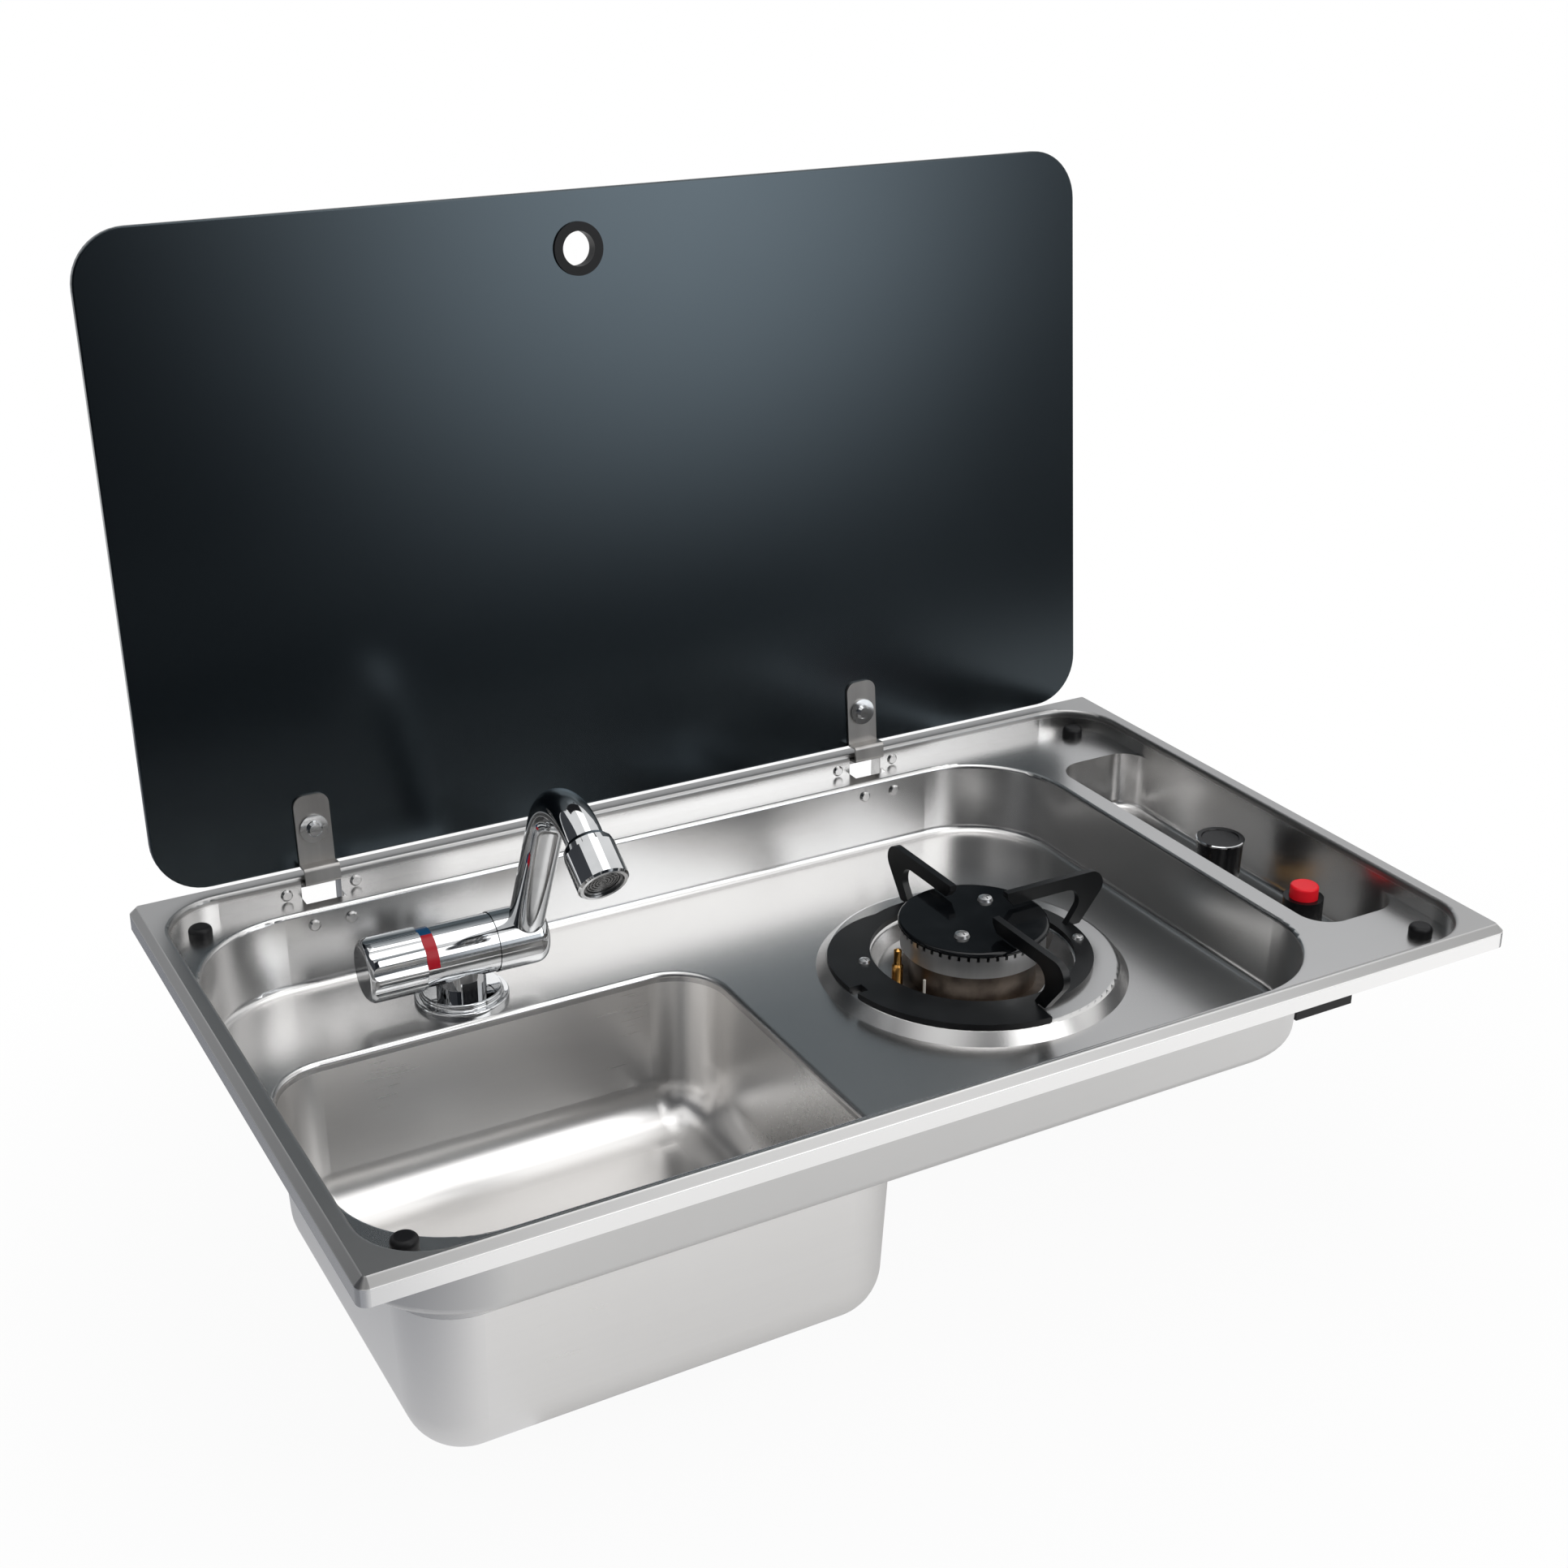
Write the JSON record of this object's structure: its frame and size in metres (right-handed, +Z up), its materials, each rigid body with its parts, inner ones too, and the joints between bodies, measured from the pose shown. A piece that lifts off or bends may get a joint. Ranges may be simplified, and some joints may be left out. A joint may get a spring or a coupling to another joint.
{
  "type": "sink and stove combination",
  "caption": "Drop-in pressed steel tray with a deep sink bowl, folding tap, gas burner with pan support, control pocket and a hinged dark glass lid.",
  "frame": {"origin": "middle of the front lip of the tray, on the worktop plane", "axes": "+X along the tray to the burner end, +Y to the hinge side, +Z up"},
  "size_m": [0.6, 0.3817, 0.5092],
  "materials": {
    "stainless": "brushed",
    "chrome": "polished",
    "steel": "plain",
    "dark_glass": "polished",
    "rubber": "matte",
    "enamel": "gloss enamel",
    "aluminium": "cast",
    "brass": "turned",
    "black_plastic": "satin",
    "red_plastic": "gloss",
    "blue_plastic": "gloss",
    "ceramic": "glazed",
    "lead_cover": "matte"
  },
  "bodies": {
    "deck": {"tray_pressing": "stainless", "sink_bowl": "stainless", "lid_bumpers": "rubber", "drain_strainer": "chrome", "drain_seal": "rubber", "drain_cup": "black_plastic", "drain_screw": "steel", "burner_pot": "aluminium", "flame_crown": "chrome", "burner_cap": "enamel", "cap_screws": "steel", "pan_support": "enamel", "support_screws": "steel", "flame_probe": "brass", "spark_electrode": "ceramic", "mixing_tube": "aluminium", "gas_injector": "brass", "gas_valve": "aluminium", "valve_nut": "brass", "gas_pipe": "steel", "gas_pipe_nut": "brass", "igniter_housing": "black_plastic", "igniter_bezel": "black_plastic", "ignition_lead": "lead_cover", "sensor_line": "brass", "tap_base": "chrome", "tap_body": "chrome", "hot_mark": "red_plastic", "cold_mark": "blue_plastic", "tap_shank": "brass", "tap_washer": "rubber", "tap_nut": "brass", "hot_tail": "brass", "cold_tail": "brass", "hinge_bracket_left": "steel", "hinge_bracket_right": "steel", "hinge_pins": "steel", "hinge_rivets": "steel"},
    "lid": {"lid_glass": "dark_glass", "lid_grommet": "rubber", "hinge_strap_left": "chrome", "hinge_strap_right": "chrome", "strap_screws": "chrome", "strap_washers": "chrome", "strap_caps": "chrome"},
    "spout": {"spout_collar": "chrome", "spout_tube": "chrome", "spout_nozzle": "chrome", "spout_insert": "steel"},
    "tap_handle": {"tap_knob": "chrome"},
    "gas_push": {"safety_pin": "steel"},
    "gas_handle": {"valve_spindle": "steel", "gas_knob": "black_plastic", "knob_ring": "chrome"},
    "igniter": {"igniter_button": "red_plastic", "igniter_plunger": "steel"}
  },
  "joints": [
    {"name": "lid_hinge", "type": "hinge", "parent": "deck", "child": "lid", "pos_m": [0, 0.3464, 0.008], "axis": [1, 0, 0], "range_deg": [0, 95.4]},
    {"name": "spout_fold", "type": "hinge", "parent": "deck", "child": "spout", "pos_m": [-0.1525, 0.2746, -0.0145], "axis": [0.9998, -0.0175, 0], "range_deg": [0, 68]},
    {"name": "tap_knob_turn", "type": "hinge", "parent": "deck", "child": "tap_handle", "pos_m": [-0.1525, 0.2746, -0.0145], "axis": [0.9998, -0.0175, 0], "range_deg": [0, 90]},
    {"name": "gas_knob_push", "type": "slide", "parent": "deck", "child": "gas_push", "axis": [0, 0, -1], "range_m": [0, 0.003], "stiffness_N_per_m": 900, "springref_m": -0.004},
    {"name": "gas_knob_turn", "type": "hinge", "parent": "gas_push", "child": "gas_handle", "pos_m": [0.2605, 0.1716, 0], "axis": [0, 0, 1], "range_deg": [0, 210]},
    {"name": "igniter_push", "type": "slide", "parent": "deck", "child": "igniter", "axis": [0, 0, -1], "range_m": [0, 0.0045], "stiffness_N_per_m": 1200, "springref_m": -0.004}
  ],
  "couplings": [
    {"joint": "spout_fold", "follows": "lid_hinge", "ratio": 0.7126}
  ]
}
